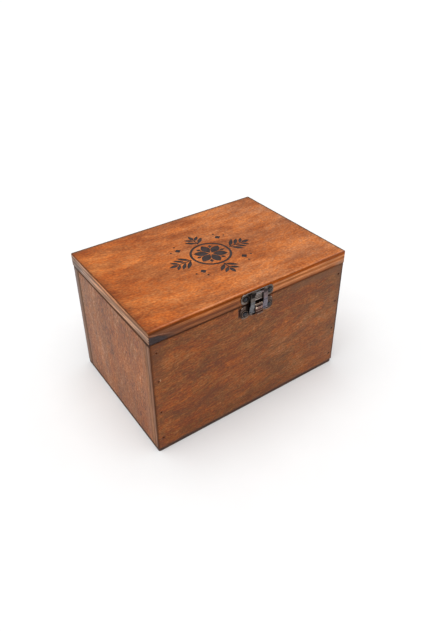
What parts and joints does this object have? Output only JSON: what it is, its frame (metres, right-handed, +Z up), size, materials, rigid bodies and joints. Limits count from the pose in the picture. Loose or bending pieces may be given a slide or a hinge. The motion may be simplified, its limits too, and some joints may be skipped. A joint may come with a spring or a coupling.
{
  "type": "hinged card box",
  "caption": "Rectangular stained plywood box with a thick flat hinged lid, a small toggle draw latch at the front and butt hinges at the back, for storing a deck of cards.",
  "frame": {"origin": "centre of the four walls' footprint, on the box's underside", "axes": "+Z up; -Y is the front with the latch; +X to the right as seen from the front, along the box's width"},
  "size_m": [0.1816, 0.1355, 0.1152],
  "materials": {
    "wood_lid": "orange-brown stain, satin, dark burnt ornament on top",
    "wood_case": "brown stain, satin, plywood edges showing",
    "wood_bottom": "thin plywood sheet, dark stained edges",
    "antique_metal": "antique bronze plating, worn brighter on the high spots",
    "nail_steel": "dull dark steel"
  },
  "bodies": {
    "box": {"front_panel": "wood_case", "back_panel": "wood_case", "left_side_panel": "wood_case", "right_side_panel": "wood_case", "bottom_panel": "wood_bottom", "front_nails": "nail_steel", "back_nails": "nail_steel", "bottom_nails": "nail_steel", "latch_base_plate": "antique_metal", "latch_base_nails": "antique_metal", "latch_lever_pin": "antique_metal", "left_hinge_lower_leaf": "antique_metal", "right_hinge_lower_leaf": "antique_metal", "left_hinge_pin": "antique_metal", "right_hinge_pin": "antique_metal", "hinge_lower_screws": "antique_metal"},
    "lid": {"lid_panel": "wood_lid", "latch_strike_plate": "antique_metal", "latch_strike_nails": "antique_metal", "left_hinge_upper_leaf": "antique_metal", "right_hinge_upper_leaf": "antique_metal", "hinge_upper_screws": "antique_metal"},
    "lever": {"latch_lever": "antique_metal", "latch_link_pin": "antique_metal"},
    "link": {"latch_link": "antique_metal"}
  },
  "joints": [
    {"name": "lid_hinge", "type": "hinge", "parent": "box", "child": "lid", "pos_m": [0, 0.0653, 0.1046], "axis": [-1, 0, 0], "range_deg": [0, 180]},
    {"name": "latch_lever", "type": "hinge", "parent": "box", "child": "lever", "pos_m": [0, -0.0661, 0.1024], "axis": [-1, 0, 0], "range_deg": [0, 150]},
    {"name": "latch_link", "type": "hinge", "parent": "lever", "child": "link", "pos_m": [0, -0.066, 0.0975], "axis": [-1, 0, 0], "range_deg": [-150, 0]}
  ],
  "couplings": [
    {"joint": "latch_link", "follows": "latch_lever", "ratio": -1}
  ]
}
